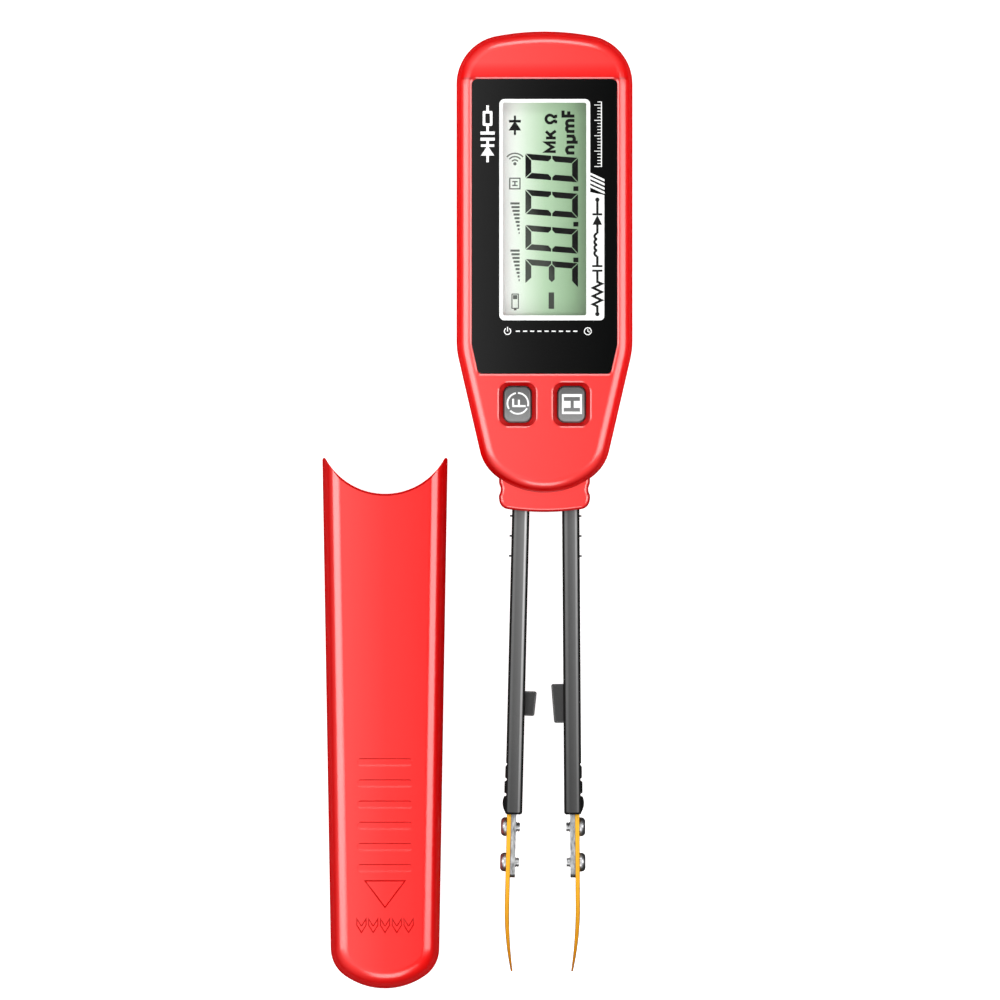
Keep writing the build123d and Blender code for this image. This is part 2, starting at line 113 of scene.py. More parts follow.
def relief(tree, shader, size_mm, strength, stretch=(1, 1, 1), depth_mm=0.02):
    """Surface relief of the given feature size, and its height for the colour to follow."""
    place = add(tree, "ShaderNodeTexCoord").outputs["Object"]
    spread = add(tree, "ShaderNodeMapping", {"Scale": stretch}, {"Vector": place}).outputs["Vector"]
    grain = {"Scale": 1 / (size_mm * MM), "Detail": 3.0}
    height = add(tree, "ShaderNodeTexNoise", grain, {"Vector": spread}).outputs["Fac"]
    skin = {"Strength": strength, "Distance": depth_mm * MM}
    bump = add(tree, "ShaderNodeBump", skin, {"Height": height})
    tree.links.new(bump.outputs["Normal"], shader.inputs["Normal"])
    return height


def layered(tree, *layers):
    """Product of colour layers, each given as a factor and the stops that it runs over."""
    product = None
    for factor, stops in layers:
        tone = add(tree, "ShaderNodeValToRGB", {"stops": stops}, {"Fac": factor}).outputs["Color"]
        if product:
            blend = {"data_type": "RGBA", "blend_type": "MULTIPLY", "Factor": 1.0}
            tone = add(tree, "ShaderNodeMix", blend, {6: product, 7: tone}).outputs[2]
        product = tone
    return product


def paint(tree, shader, *layers):
    """Gives the shader its colour layers."""
    tree.links.new(layered(tree, *layers), shader.inputs["Base Color"])


# Materials of the shells, the panel and the display

# Painted shade: where the deep red of the walls fades out, in mm along the length and out to each side
POCKET_SHADE_Y = (-24, -14)
POCKET_SHADE_X = (10.2, 13)


def red_abs(name, span, painted_light_tones, wall_shade, window_shade=None):
    """Moulded ABS, satin gloss: bright red on top, with painted light making it paler to one side, and
    painted shade deepening the red where the walls turn down.
    """
    material, tree, shader = finish_of(name, Roughness=0.21, IOR=1.54, Specular_IOR_Level=0.7)
    layers = [(across(tree, *span), painted_light_tones)]
    if window_shade:
        # Painted shade deepens the red in a band beside the window
        layers.append((across(tree, *window_shade[0], (0, 1, 0)), window_shade[1]))
    top = layered(tree, *layers)
    # Painted shade: the walls are a deeper red than the top faces, and deepest in the key pockets and round
    # the collar
    far = across(tree, *POCKET_SHADE_Y, (0, 1, 0))
    for outward in (1, -1):
        beside = across(tree, *POCKET_SHADE_X, (outward, 0, 0))
        far = add(tree, "ShaderNodeMath", {"operation": "MAXIMUM"}, {0: far, 1: beside}).outputs["Value"]
    side = layered(tree, (far, wall_shade))
    share = upright_share(tree, 0.72, 0.97)
    mix = add(tree, "ShaderNodeMix", {"data_type": "RGBA"}, {"Factor": share, 6: side, 7: top})
    tree.links.new(mix.outputs[2], shader.inputs["Base Color"])
    # Spark-eroded mould skin, drawn at 0.3 mm because its real 0.05 mm grit would not show
    relief(tree, shader, 0.3, 0.08)
    return material


def black_acrylic():
    """Acrylic window printed black on its back: deep black under a polished face, with a painted reflection
    making it paler to one side.
    """
    material, tree, shader = finish_of("black_acrylic_back_printed", Roughness=0.12, IOR=1.49)
    # Painted reflection: the black is paler to one side
    paint(tree, shader, (across(tree, -14, 14), [(0.0, "#1C1C1C"), (0.5, "#131313"), (1.0, "#080909")]))
    relief(tree, shader, 2.0, 0.02)
    return material


def clear_acrylic():
    """Coated clear acrylic: a faint mirror over the display, and nothing else."""
    material, tree, shader = finish_of("clear_acrylic_polished", Roughness=0.05, Metallic=1.0, Alpha=0.02)
    paint(tree, shader, (across(tree, -9, 9), [(0.0, "#FFFFFF"), (1.0, "#E8F6EA")]))
    return material


def display_glass():
    """Reflective liquid-crystal glass: painted glare makes it near white beside the light, olive green away
    from it, and it has a faint painted glow.
    """
    # Painted glow: the emission lightens the glass, which has no lamp of its own
    gloss = {"Roughness": 0.35, "IOR": 1.52, "Emission_Strength": 0.09}
    material, tree, shader = finish_of("reflective_lcd_glass", **gloss)
    shader.inputs["Emission Color"].default_value = linear("#F2FFF0")
    # The glass's own olive green, washed to near white by painted glare towards the light
    greens = [(0.0, "#FFFFFF"), (0.12, "#EFF6EE"), (0.3, "#CBE0C8")]
    greens += [(0.5, "#A6C7A2"), (0.85, "#789E73"), (1.0, "#688C62")]
    fine = relief(tree, shader, 0.12, 0.04)
    paint(tree, shader, (across(tree, -8.2, 8.2), greens), (fine, [(0.3, "#F4F4F4"), (0.7, "#FFFFFF")]))
    return material


def key_abs():
    """Grey ABS keys with an eroded face: darker to the display, lighter to the tips."""
    material, tree, shader = finish_of("grey_abs_key", Roughness=0.38, IOR=1.54)
    greys = [(0.0, "#8C8C8C"), (0.45, "#6E6E6E"), (1.0, "#565656")]
    length = across(tree, -31.1, -24.3, (0, 1, 0))
    fine = relief(tree, shader, 0.15, 0.10)
    paint(tree, shader, (length, greys), (fine, [(0.3, "#EDEDED"), (0.7, "#FFFFFF")]))
    return material


# Materials of the arms and the tips

def sleeve_nylon():
    """Glass-filled nylon, moulded matt black: almost no shine on its edges."""
    gloss = {"Roughness": 0.6, "IOR": 1.53, "Specular_IOR_Level": 0.12}
    material, tree, shader = finish_of("black_nylon_moulded", **gloss)
    paint(tree, shader, (relief(tree, shader, 0.25, 0.15), [(0.3, "#050505"), (0.7, "#0D0D0D")]))
    return material


def inlay_abs(name, arm, painted_light_tones):
    """Soft grey ABS strip: mid grey with a painted highlight along one edge, darkening towards the tips."""
    x, y, lean = arm
    side = (math.cos(math.radians(lean)), math.sin(math.radians(lean)), 0)
    centre = x * side[0] + y * side[1]
    material, tree, shader = finish_of(name, Roughness=0.42, IOR=1.54)
    band = across(tree, centre - INLAY_HALF, centre + INLAY_HALF, side)
    fade = [(0.0, "#8E8E8E"), (0.35, "#C4C4C4"), (1.0, "#FFFFFF")]
    # Painted light across the strip: a gradient of greys and a painted highlight line near one edge
    paint(tree, shader, (band, painted_light_tones), (across(tree, -107, -47, (0, 1, 0)), fade))
    relief(tree, shader, 0.2, 0.08)
    return material


def guide_nylon():
    """Dark grey nylon guides with a fine matt skin, their walls painted near black as shade."""
    material, tree, shader = finish_of("dark_nylon_guide", Roughness=0.3, IOR=1.53, Specular_IOR_Level=0.6)
    # Painted shade: near black on the walls, dark grey on the top faces
    stops = [(0.0, "#020202"), (0.35, "#050505"), (0.55, "#2A2A2A"), (1.0, "#2F2F2F")]
    fine = relief(tree, shader, 0.2, 0.08)
    paint(tree, shader, (upright_share(tree, 0.2, 0.99), stops), (fine, [(0.3, "#DADADA"), (0.7, "#FFFFFF")]))
    return material


def metal(name, dark, light, roughness, size_mm, strength, stretch=(1, 1, 1)):
    """Bare or plated metal whose tone follows its brushing or grain."""
    material, tree, shader = finish_of(name, Roughness=roughness, Metallic=1.0)
    paint(tree, shader, (relief(tree, shader, size_mm, strength, stretch, 0.01), [(0.3, dark), (0.7, light)]))
    return material


def gold_plate():
    """Gold over nickel, satin: yellow faces, painted shade turning their rounded edges brown, and deeper at
    the fine end.
    """
    # A little below full metal, so that the broad sides keep their yellow where there is no light to reflect
    material, tree, shader = finish_of("gold_plated_satin", Roughness=0.45, Metallic=0.85)
    length = [(0.0, "#A8640C"), (0.2, "#C98816"), (0.55, "#E8AA2C"), (1.0, "#F0B638")]
    # Painted shade turns the rounded edges brown between the top faces and the broad sides
    edge_shade = [(0.0, "#FFFFFF"), (0.12, "#6A3E0E"), (0.7, "#7A4E18"), (1.0, "#FFFFFF")]
    relief(tree, shader, 0.3, 0.08, (1, 0.15, 1), 0.01)
    along = across(tree, -138.2, -108, (0, 1, 0))
    paint(tree, shader, (along, length), (upright_share(tree, 0.05, 0.995), edge_shade))
    return material


# Materials of the inside and the back

def moulding(name, dark, light, roughness, size_mm=0.3, strength=0.1):
    """Moulded or cast non-metal whose tone drifts a little with its skin."""
    material, tree, shader = finish_of(name, Roughness=roughness, IOR=1.5)
    paint(tree, shader, (relief(tree, shader, size_mm, strength), [(0.3, dark), (0.7, light)]))
    return material


def solder_mask():
    """Green solder mask over copper: darker laminate with paler tracks 0.6 mm apart."""
    material, tree, shader = finish_of("green_solder_mask", Roughness=0.3, IOR=1.5)
    place = add(tree, "ShaderNodeTexCoord").outputs["Object"]
    greens = {"Color1": linear("#0B5A2A"), "Color2": linear("#0D6630"), "Mortar": linear("#2E9455")}
    tracks = add(tree, "ShaderNodeTexBrick", {"Scale": 1 / (2.4 * MM), **greens}, {"Vector": place})
    tree.links.new(tracks.outputs["Color"], shader.inputs["Base Color"])
    return material


def zebra_rubber():
    """Layered contact rubber: black and pale bands about 0.13 mm wide along its length."""
    material, tree, shader = finish_of("zebra_contact_rubber", Roughness=0.7)
    place = add(tree, "ShaderNodeTexCoord").outputs["Object"]
    bands = {"wave_type": "BANDS", "bands_direction": "Y", "Scale": 0.5 / (0.4 * MM)}
    wave = add(tree, "ShaderNodeTexWave", bands, {"Vector": place})
    paint(tree, shader, (wave.outputs["Fac"], [(0.45, "#161616"), (0.55, "#D8CFC0")]))
    return material


def label_film():
    """Silver polyester film with a faint brushed print."""
    material, tree, shader = finish_of("silver_polyester_film", Roughness=0.4, Metallic=0.35)
    brushing = relief(tree, shader, 0.3, 0.05, (0.06, 1, 1))
    paint(tree, shader, (brushing, [(0.3, "#C3C6C8"), (0.7, "#DADCDD")]))
    return material


def ink(name, stops, low=-14, high=14, direction=(1, 0, 0)):
    """Screen-printed ink: flat and matt, a shade stronger to one side."""
    material, tree, shader = finish_of(name, Roughness=0.5, IOR=1.45, Specular_IOR_Level=0.2)
    paint(tree, shader, (across(tree, low, high, direction), stops))
    return material


def assign(material, *names):
    for name in names:
        mesh = NODES[name].data
        mesh.materials.clear()
        mesh.materials.append(material)


def dress_nodes():
    """Gives every modelled sub-part its finish."""
    # Painted shade: a band of deeper red just above the window
    window_shade_stops = [(0.0, "#FFFFFF"), (0.28, "#FFFFFF"), (0.36, "#C40808")]
    window_shade_stops += [(0.46, "#F25050"), (0.75, "#FFB0B0"), (1.0, "#FFFFFF")]
    # Painted light makes the case paler to one side; painted shade deepens its walls
    case_painted_light = [(0.0, "#F84B49"), (1.0, "#F83634")]
    case_wall_shade = [(0.0, "#B80203"), (1.0, "#EC0203")]
    case_red = red_abs("red_abs_case", (-17, 17), case_painted_light, case_wall_shade, ((34, 39), window_shade_stops))
    # Painted light makes the cap paler to one side; painted shade deepens its walls
    cap_painted_light = [(0.0, "#F84745"), (0.5, "#F82725"), (1.0, "#F80A08")]
    cap_red = red_abs("red_abs_cap", (-43, -19), cap_painted_light, [(0.0, "#C90203"), (1.0, "#C90203")])
    assign(case_red, "front_case", "back_case", "nose_collar", "battery_door")
    assign(cap_red, "protective_cap")
    assign(black_acrylic(), "display_panel")
    assign(clear_acrylic(), "display_lens")
    assign(display_glass(), "lcd_glass")
    assign(key_abs(), "function_button", "hold_button")
    nylon = sleeve_nylon()
    assign(nylon, "left_arm_sleeve", "right_arm_sleeve", "spring_holder")
    # Painted light across each inlay, ending in a painted highlight line near one edge
    left_painted_light = [(0.0, "#646464"), (0.1, "#6C6C6C"), (0.25, "#585858"), (0.5, "#606060"), (0.78, "#727272")]
    left_painted_light += [(0.87, "#D2D2D2"), (0.94, "#C4C4C4"), (1.0, "#6A6A6A")]
    right_painted_light = [(0.0, "#5E5E5E"), (0.12, "#6C6C6C"), (0.3, "#484848"), (0.55, "#525252")]
    right_painted_light += [(0.78, "#666666"), (0.88, "#9E9E9E"), (0.94, "#969696"), (1.0, "#4C4C4C")]
    left_inlay = inlay_abs("grey_abs_left_inlay", LEFT_ARM, left_painted_light)
    assign(left_inlay, "left_front_inlay", "left_back_inlay")
    right_inlay = inlay_abs("grey_abs_right_inlay", RIGHT_ARM, right_painted_light)
    assign(right_inlay, "right_front_inlay", "right_back_inlay")
    assign(guide_nylon(), "left_guide_tongue", "right_guide_socket")
    assign(gold_plate(), "left_probe_tip", "right_probe_tip")
    brushed = metal("stainless_strip_brushed", "#6E6F70", "#C6C7C8", 0.45, 0.5, 0.3, (1, 0.35, 1))
    assign(brushed, "left_steel_strip", "right_steel_strip")
    chrome = metal("chrome_screw_satin", "#A8A9AA", "#D2D3D4", 0.42, 0.4, 0.05)
    assign(chrome, "left_tip_screws", "right_tip_screws")
    spring = metal("spring_steel", "#8C9093", "#AEB2B5", 0.33, 0.3, 0.12, (1, 0.1, 1))
    assign(spring, "left_flat_spring", "right_flat_spring")
    zinc = metal("zinc_plated_steel", "#A9AFB4", "#C9CED2", 0.35, 0.3, 0.12)
    assign(zinc, "case_screws", "board_screws", "holder_screws")
    assign(metal("cell_steel_spun", "#B4B6B8", "#D6D8D9", 0.3, 0.35, 0.1, (1, 0.2, 1)), "coin_cell")
    nickel = metal("nickel_plated_contact", "#B5AE9C", "#D2CBB8", 0.32, 0.25, 0.1)
    assign(nickel, "positive_contact", "negative_contact")
    assign(metal("tinned_part", "#A7A9AC", "#D0D2D4", 0.4, 0.5, 0.1), "board_components")
    pom = moulding("white_pom_frame", "#DADBD6", "#E8E8E4", 0.45)
    assign(pom, "lcd_holder", "function_plunger", "hold_plunger")
    phenolic = moulding("black_phenolic_switch", "#151515", "#1F1F1F", 0.4)
    assign(phenolic, "function_switch", "hold_switch", "buzzer")
    assign(moulding("epoxy_chip_body", "#101012", "#1A1A1D", 0.55, 0.15, 0.2), "processor_chip")
    assign(solder_mask(), "circuit_board")
    assign(zebra_rubber(), "contact_strips")
    assign(label_film(), "back_label")


# Flat outlines in mm, each shape a list of outlines whose inner ones are holes

def on_circle(centre, radius, angle):
    return centre[0] + radius * math.cos(angle), centre[1] + radius * math.sin(angle)


def bar(x, y):
    return [[(x[0], y[0]), (x[1], y[0]), (x[1], y[1]), (x[0], y[1])]]


def round_bar(x, y, radii):
    """Rectangle with its corner radii listed from low left, anticlockwise."""
    corners = [(x[0], y[0], 1, 1, 180), (x[1], y[0], -1, 1, 270)]
    corners += [(x[1], y[1], -1, -1, 0), (x[0], y[1], 1, -1, 90)]
    outline = []
    for (cx, cy, sx, sy, start), radius in zip(corners, radii):
        centre = (cx + sx * radius, cy + sy * radius)
        outline += [on_circle(centre, radius, math.radians(start + 15 * k)) for k in range(7)]
    return [outline]


def frame_of(x, y, outer, inner, width):
    """Rounded frame of the given line width."""
    edge = round_bar(x, y, [outer] * 4)
    return edge + round_bar((x[0] + width, x[1] - width), (y[0] + width, y[1] - width), [inner] * 4)


def sweep(centre, radius, start, end, width):
    """Part of a ring between two angles in degrees."""
    steps = max(6, int(abs(end - start) / 9))
    angles = [math.radians(start + (end - start) * k / steps) for k in range(steps + 1)]
    outer = [on_circle(centre, radius + width / 2, angle) for angle in angles]
    inner = [on_circle(centre, radius - width / 2, angle) for angle in angles]
    return [outer + inner[::-1]]


def disc(centre, radius):
    return [[on_circle(centre, radius, 2 * math.pi * k / 28) for k in range(28)]]


def stroke(points, width):
    """Line of even width along a path, with mitred corners."""
    path = [Vector(p) for p in points]
    left, right = [], []
    for k, here in enumerate(path):
        into = (here - path[k - 1]).normalized() if k else (path[1] - here).normalized()
        out = (path[k + 1] - here).normalized() if k + 1 < len(path) else into
        side = Vector((-(into + out).y, (into + out).x)).normalized()
        reach = width / 2 / max(0.35, side.dot(Vector((-into.y, into.x))))
        left.append(tuple(here + side * reach))
        right.append(tuple(here - side * reach))
    return [left + right[::-1]]


# Printed pieces

def thicken(solids, outlines, low, high):
    """Adds a closed plate of the outlines' shape between two heights."""
    flat = [[Vector((x, y, 0)) for x, y in outline] for outline in outlines]
    corners = [p for outline in flat for p in outline]
    under = [solids.verts.new((p.x * MM, p.y * MM, low * MM)) for p in corners]
    over = [solids.verts.new((p.x * MM, p.y * MM, high * MM)) for p in corners]
    for a, b, c in tessellate_polygon(flat):
        solids.faces.new((over[a], over[b], over[c]))
        solids.faces.new((under[c], under[b], under[a]))
    start = 0
    for outline in flat:
        count = len(outline)
        for k in range(count):
            a, b = start + k, start + (k + 1) % count
            solids.faces.new((under[a], under[b], over[b], over[a]))
        start += count


def arch(low, high, base):
    """Path of one arch between two places across, in a sign's unit box."""
    centre, half = (low + high) / 2, (high - low) / 2
    turn = [math.pi * k / 8 for k in range(9)]
    rise = [(centre - half * math.cos(angle), 0.62 + 0.38 * math.sin(angle)) for angle in turn]
    return rise + [(high, base)]


def ohm():
    """Paths of the ohm sign in its unit box: the loop, its two feet and the legs between them."""
    turn = [math.radians(236 - 292 * k / 20) for k in range(21)]
    loop = [(0.5 + 0.46 * math.cos(a), 0.6 + 0.4 * math.sin(a)) for a in turn]
    feet = [[(0, 0), (0.36, 0)], [(0.64, 0), (1, 0)]]
    legs = [[(loop[0][0], 0.3), (0.3, 0)], [(loop[-1][0], 0.3), (0.7, 0)]]
    return [loop, *feet, *legs]


UNIT_SIGNS = {
    "mega": [[(0, 0), (0, 1), (0.5, 0.3), (1, 1), (1, 0)]],
    "kilo": [[(0, 0), (0, 1)], [(0.95, 1), (0.12, 0.38)], [(0.4, 0.6), (1, 0)]],
    "ohm": ohm(),
    "nano": [[(0, 0), (0, 1)], arch(0, 1, 0)],
    "micro": [[(0, 1), (0, -0.42)], [(1, 1), (1, 0)], [(1 - u, 1 - v) for u, v in arch(0, 1, 0)]],
    "milli": [[(0, 0), (0, 1)], arch(0, 0.5, 0), arch(0.5, 1, 0)],
    "farad": [[(1, 1), (0, 1), (0, 0)], [(0, 0.5), (0.85, 0.5)]],
}


def unit(name, x, y, width):
    """Stroked unit sign, head towards -X, that fills its box in mm."""
    inset = width / 2
    shapes = []
    for path in UNIT_SIGNS[name]:
        placed = []
        for u, v in path:
            up = v * (x[1] - x[0] - width)
            placed.append((x[1] - inset - up, y[0] + inset + u * (y[1] - y[0] - width)))
        shapes.append(stroke(placed, width))
    return shapes


def printed(name, shapes, face, material, body):
    """One ink piece on a face, riding on the body: closed plates, each a hair higher than the last."""
    solids = bmesh.new()
    for k, outlines in enumerate(shapes):
        reach = INK + k * INK_STEP
        # Ink on the back label stands out downwards
        low, high = (face, face + reach) if face > LABEL_FACE else (face - reach, face)
        thicken(solids, outlines, low, high)
    bmesh.ops.recalc_face_normals(solids, faces=solids.faces)
    mesh = bpy.data.meshes.new(name)
    solids.to_mesh(mesh)
    solids.free()
    mesh.materials.append(material)
    piece = bpy.data.objects.new(name, mesh)
    bpy.context.collection.objects.link(piece)
    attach(piece, body)
    return piece


WINDOW_X = (-8.15, 8.15)
WINDOW_Y = (-10.37, 31.13)
LINE_X = (-8.81, 8.91)
LINE_Y = (-11.32, 31.83)
STRIP_X = (8.6, 11.66)
STRIP_TOP = 13.1
STRIPE_X = (8.9, 11.7)
STRIPES = (17.05, 16.25, 15.42, 14.6)
SIGN_LINE_X = 10.3
SIGN_STROKE = 0.46
HEAD_X = -11.1
HEAD_STROKE = 0.5
TICK_Y = 18.6
STANDBY_Y = -13.45
ICON_X = -5.77
RING = (-5.21, -27.52)


def window_frame(white):
    """White line round the window, the symbol strip beside it and its four slanted stripes."""
    edge = round_bar(LINE_X, LINE_Y, [1.0, 0.3, 1.0, 1.0]) + round_bar(WINDOW_X, WINDOW_Y, [0.4] * 4)
    strip = round_bar(STRIP_X, (LINE_Y[0], STRIP_TOP), [0.05, 0.8, 0.05, 0.05])
    left, right = STRIP_X
    slant = [(left, STRIP_TOP - 0.1), (right, STRIP_TOP - 0.1), (right, STRIP_TOP), (left, STRIP_TOP + 0.65)]
    shapes = [edge, strip, [slant]]
    left, right = STRIPE_X
    for low in STRIPES:
        shapes.append([[(left, low), (right, low - 1.3), (right, low - 0.85), (left, low + 0.45)]])
    printed("window_frame_print", shapes, PANEL_FACE, white, "case")


def circuit_line(black):
    """Line of circuit signs along the white strip: resistor, capacitor, coil and diode."""
    x = SIGN_LINE_X
    shapes = [disc((x, -10.1), 0.42), disc((x, 12.2), 0.42)]
    zigzag = [(x, -10.1), (x, -8.6)]
    for k in range(6):
        zigzag.append((x + (0.85 if k % 2 else -0.85), -8.2 + 0.8 * k))
    zigzag += [(x, -3.8), (x, -1.75)]
    shapes.append(stroke(zigzag, SIGN_STROKE))
    shapes += [bar((x - 1.0, x + 1.0), (-1.85, -1.45)), bar((x - 1.0, x + 1.0), (-0.95, -0.55))]
    shapes.append(stroke([(x, -0.6), (x, 1.2)], SIGN_STROKE))
    for k in range(4):
        shapes.append(sweep((x, 1.75 + 1.1 * k), 0.55, 90, 270, SIGN_STROKE))
    shapes.append(stroke([(x, 5.6), (x, 7.4)], SIGN_STROKE))
    shapes.append([[(x - 0.95, 7.3), (x + 0.95, 7.3), (x, 9.2)]])
    shapes.append(bar((x - 0.95, x + 0.95), (9.15, 9.55)))
    shapes.append(stroke([(x, 9.5), (x, 12.2)], SIGN_STROKE))
    printed("circuit_signs_print", shapes, PANEL_FACE + INK, black, "case")


def panel_signs(white):
    """Part signs at the head of the panel, tick scale beside the window and standby line below it."""
    x = HEAD_X
    shapes = [frame_of((x - 0.95, x + 0.95), (26.6, 29.5), 0.25, 0.1, 0.5)]
    shapes += [stroke([(x, 29.4), (x, 30.6)], HEAD_STROKE), stroke([(x, 26.7), (x, 25.4)], HEAD_STROKE)]
    shapes += [bar((x - 1.4, x + 1.4), (24.9, 25.5)), bar((x - 1.4, x + 1.4), (23.7, 24.3))]
    shapes.append(stroke([(x, 23.8), (x, 22.6)], HEAD_STROKE))
    shapes.append([[(x - 1.3, 20.8), (x + 1.3, 20.8), (x, 22.8)]])
    shapes.append(bar((x - 1.3, x + 1.3), (22.5, 23.0)))
    shapes.append(stroke([(x, 20.9), (x, 19.5)], HEAD_STROKE))
    printed("part_signs_print", shapes, PANEL_FACE, white, "case")

    ticks = [bar((11.0, 11.2), (TICK_Y, TICK_Y + 12.72))]
    for k in range(22):
        y = TICK_Y + 0.6 * k
        ticks.append(bar((9.7 if k % 5 == 0 else 10.3, 11.0), (y, y + 0.14)))
    printed("tick_scale_print", ticks, PANEL_FACE, white, "case")

    y = STANDBY_Y
    standby = [sweep((-7.2, y), 0.62, -240, 60, 0.2), bar((-7.3, -7.1), (y - 0.05, y + 0.85))]
    for k in range(9):
        standby.append(bar((-5.6 + 1.4 * k, -4.8 + 1.4 * k), (y - 0.12, y + 0.12)))
    standby.append(sweep((8.45, y), 0.68, 0, 355, 0.18))
    standby.append(stroke([(8.45, y + 0.45), (8.45, y), (8.8, y - 0.2)], 0.16))
    printed("standby_line_print", standby, PANEL_FACE, white, "case")


DIGIT_BASE = 6.53
DIGIT_TALL = 10.26
DIGIT_WIDE = 4.8
DIGIT_LEAN = 0.82
SEGMENT = 1.15
SEGMENT_GAP = 0.1


def segments():
    """Outlines of the seven segments, as (across, up) in mm."""
    t, g, w, h = SEGMENT, SEGMENT_GAP, DIGIT_WIDE, DIGIT_TALL
    middle = h / 2
    top = [(g, h), (w - g, h), (w - g - t, h - t), (g + t, h - t)]
    upper = [(0, h - g), (t, h - g - t), (t, middle + t / 2 + g), (t / 2, middle + g), (0, middle + g)]
    centre = [(t / 2 + g, middle), (t + g, middle + t / 2), (w - t - g, middle + t / 2)]
    centre += [(w - a, h - b) for a, b in centre]
    shapes = {"a": top, "f": upper, "g": centre}
    shapes["d"] = [(a, h - b) for a, b in top]
    shapes["b"] = [(w - a, b) for a, b in upper]
    shapes["e"] = [(a, h - b) for a, b in upper]
    shapes["c"] = [(w - a, h - b) for a, b in upper]
    return shapes


def upright(points, y):
    """Turns (across, up) digit points to the panel, heads towards -X and leaning over."""
    placed = []
    for side, up in points:
        placed.append((DIGIT_BASE - up, y - DIGIT_WIDE / 2 + side + DIGIT_LEAN * (up / DIGIT_TALL - 0.5)))
    return placed


def reading(black):
    """Seven-segment reading with its minus sign and points."""
    parts = segments()
    shapes = []
    for y, lit in ((18.38, "abcdef"), (11.38, "abcdef"), (4.46, "abcdef"), (-2.17, "abcdg")):
        shapes += [[upright(parts[name], y)] for name in lit]
    shapes.append(bar((0.80, 1.87), (-9.08, -5.88)))
    for y in ((13.89, 14.81), (6.97, 7.87), (-0.01, 0.91)):
        shapes.append(bar((5.62, 6.61), y))
    printed("reading_segments", shapes, LCD_FACE, black, "case")
    upper, lower = (0.0, 2.48), (4.0, 6.15)
    shapes = unit("mega", upper, (21.3, 23.6), 0.56) + unit("kilo", upper, (23.95, 25.9), 0.56)
    shapes += unit("ohm", upper, (26.8, 29.05), 0.56)
    shapes += unit("nano", lower, (21.0, 22.8), 0.62) + unit("micro", lower, (23.1, 24.9), 0.62)
    shapes += unit("milli", lower, (25.2, 27.95), 0.6) + unit("farad", (3.3, 6.15), (28.2, 29.9), 0.62)
    printed("unit_signs", shapes, LCD_FACE, black, "case")


def status_icons(grey, black):
    """Left column of the display: diode, sounder, hold, two bar graphs and battery."""
    diode = [bar((-6.92, -4.62), (27.25, 27.75)), [[(-7.0, 25.7), (-4.55, 25.7), (ICON_X, 27.6)]]]
    diode.append(stroke([(ICON_X, 24.8), (ICON_X, 28.6)], 0.4))
    printed("diode_icon", diode, LCD_FACE, black, "case")
    icons = [disc((ICON_X, 19.2), 0.32)]
    for radius in (0.75, 1.4, 2.05):
        icons.append(sweep((ICON_X, 19.2), radius, 40, 140, 0.26))
    icons.append(frame_of((-6.9, -4.66), (14.2, 16.5), 0.1, 0.05, 0.24))
    icons += [bar((-6.3, -5.25), (14.85, 15.1)), bar((-6.3, -5.25), (15.6, 15.85))]
    icons.append(bar((-5.9, -5.65), (15.1, 15.6)))
    for low, count in ((5.5, 9), (-3.7, 9)):
        for k in range(count):
            icons.append(bar((-4.85 - 0.2 * k - 0.2, -4.85), (low + 0.72 * k, low + 0.72 * k + 0.42)))
    icons += [frame_of((-6.45, -4.99), (-9.08, -6.1), 0.15, 0.05, 0.2), bar((-5.98, -5.46), (-9.38, -9.05))]
    icons.append(bar((-6.15, -5.3), (-7.2, -6.4)))
    printed("status_icons", icons, LCD_FACE, grey, "case")


def key_legends(white):
    """F in a broken circle on one key, H cut out of a white square on the other."""
    arcs = ((95, 218), (218, 338), (338, 455))
    shapes = [sweep(RING, 2.03, start + 6, end - 6, 0.32) for start, end in arcs]
    shapes.append(bar((-6.3, -3.68), (-28.24, -27.87)))
    shapes += [bar((-6.3, -5.93), (-27.9, -26.6)), bar((-5.18, -4.81), (-27.9, -26.8))]
    printed("function_key_legend", shapes, KEY_FACE, white, "function_key")
    left, right, low, high = 3.39, 7.31, -29.6, -25.7
    bars = ((-28.38, -29.12), (-26.26, -27.04))
    square = [(left, low), (right, low), (right, high), (left, high)]
    letter = [(3.75, bars[0][1]), (6.92, bars[0][1]), (6.92, bars[0][0]), (5.70, bars[0][0])]
    letter += [(5.70, bars[1][1]), (6.92, bars[1][1]), (6.92, bars[1][0]), (3.75, bars[1][0])]
    letter += [(3.75, bars[1][1]), (5.09, bars[1][1]), (5.09, bars[0][0]), (3.75, bars[0][0])]
    printed("hold_key_legend", [[square, letter]], KEY_FACE, white, "hold_key")


def label_print(black):
    """Blank data fields on the back label: a border, three ruled lines and a cell sign."""
    shapes = [frame_of((-9.4, 9.4), (-19.4, -4.6), 0.8, 0.6, 0.25)]
    for k in range(3):
        shapes.append(bar((-8.2, 3.2), (-8.2 - 2.6 * k, -7.9 - 2.6 * k)))
    shapes.append(sweep((6.4, -12.0), 1.9, 0, 355, 0.3))
    shapes += [bar((5.5, 7.3), (-12.15, -11.85)), bar((6.25, 6.55), (-12.9, -11.1))]
    printed("label_print", shapes, LABEL_FACE, black, "case")


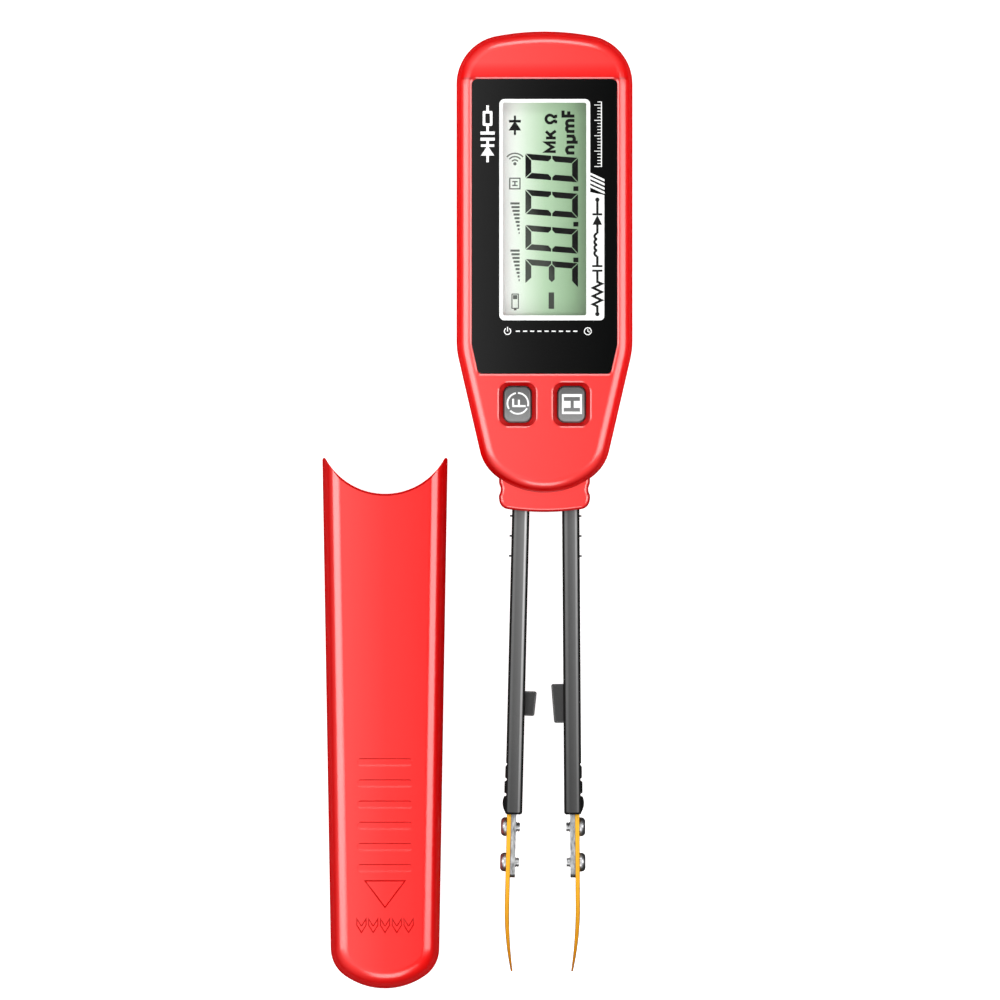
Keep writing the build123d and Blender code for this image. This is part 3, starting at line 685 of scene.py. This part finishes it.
def prints():
    white = ink("white_screen_ink", [(0.0, "#FFFFFF"), (1.0, "#F6F8F6")])
    black = ink("black_screen_ink", [(0.0, "#0C0C0C"), (1.0, "#040404")])
    # Painted glare: the segments grey on the side towards the light, full black away from it
    painted_glare = [(0.0, "#50564F"), (0.46, "#3E423D"), (0.58, "#141514"), (0.66, "#020202"), (1.0, "#000000")]
    segment = ink("lcd_segment_black", painted_glare, -6, 8, direction=(0.944, 0.33, 0))
    faint = ink("lcd_segment_grey", [(0.0, "#6E746E"), (1.0, "#5A605A")], -7, -4)
    window_frame(white)
    circuit_line(black)
    panel_signs(white)
    reading(segment)
    status_icons(faint, black)
    key_legends(white)
    label_print(black)


# Camera, light and floor

MIDDLE = Vector((-0.00868, -0.04636, 0.0))
VIEW_WIDTH = 0.195
EYE_HEIGHT = 1.2
BOX_REACH = 0.55
BOX_TILT = math.radians(35)
BOX_WIDE = 0.22
BOX_RADIANCE = 5.7
BOXES = (("left", (-1, 0), 0.40), ("right", (1, 0), 0.40), ("top", (0, 1), 0.2), ("bottom", (0, -1), 0.2))
END_SHIFT = 0.07


def camera():
    data = bpy.data.cameras.new("camera")
    data.type = "ORTHO"
    data.ortho_scale = VIEW_WIDTH
    data.clip_start = 0.01
    data.clip_end = 5.0
    eye = bpy.data.objects.new("camera", data)
    bpy.context.collection.objects.link(eye)
    eye.location = MIDDLE + Vector((0, 0, EYE_HEIGHT))
    bpy.context.scene.camera = eye


def soft_light(name, place, aim, size, radiance):
    """Area light of the given size in metres and brightness, facing its aim."""
    data = bpy.data.lights.new(name, "AREA")
    data.shape = "RECTANGLE"
    data.size, data.size_y = size
    data.energy = radiance * math.pi * size[0] * size[1]
    lamp = bpy.data.objects.new(name, data)
    bpy.context.collection.objects.link(lamp)
    lamp.location = place
    lamp.rotation_mode = "QUATERNION"
    lamp.rotation_quaternion = (Vector(aim) - Vector(place)).to_track_quat("-Z", "Y")
    lamp.visible_camera = False


def studio():
    """Four soft boxes round the object draw its rounded edges, and one over it shades the flat faces."""
    world = bpy.data.worlds.new("studio")
    bpy.context.scene.world = world
    world.use_nodes = True
    world.node_tree.nodes["Background"].inputs["Strength"].default_value = 0.05
    side, rise = BOX_REACH * math.sin(BOX_TILT), BOX_REACH * math.cos(BOX_TILT)
    for name, turn, length in BOXES:
        offset = Vector((turn[0] * side, turn[1] * (side + END_SHIFT), rise))
        aim = MIDDLE + Vector((0, turn[1] * END_SHIFT, 0))
        size = (BOX_WIDE, length) if turn[0] else (length, BOX_WIDE)
        soft_light(name + "_box", MIDDLE + offset, aim, size, BOX_RADIANCE)
    over = Vector((-0.21, MIDDLE.y, 0.40))
    soft_light("overhead_box", over, over - Vector((0, 0, 1)), (0.40, 0.5), 0.5)


def floor():
    """Matt white sheet on a lit table, so that the ground stays evenly pale."""
    bpy.ops.mesh.primitive_plane_add(size=4.0, location=(0, 0, -0.0001))
    sheet = bpy.context.object
    sheet.name = "floor"
    material, tree, shader = finish_of("white_paper_matt", Roughness=0.9, Emission_Strength=0.85)
    shader.inputs["Emission Color"].default_value = linear("#FFFFFF")
    paint(tree, shader, (relief(tree, shader, 0.8, 0.02), [(0.3, "#DCDCDC"), (0.7, "#E0E0E0")]))
    sheet.data.materials.append(material)
    sheet.visible_glossy = False


dress_nodes()
prints()
camera()
studio()
floor()
bpy.context.scene.view_settings.view_transform = "Standard"
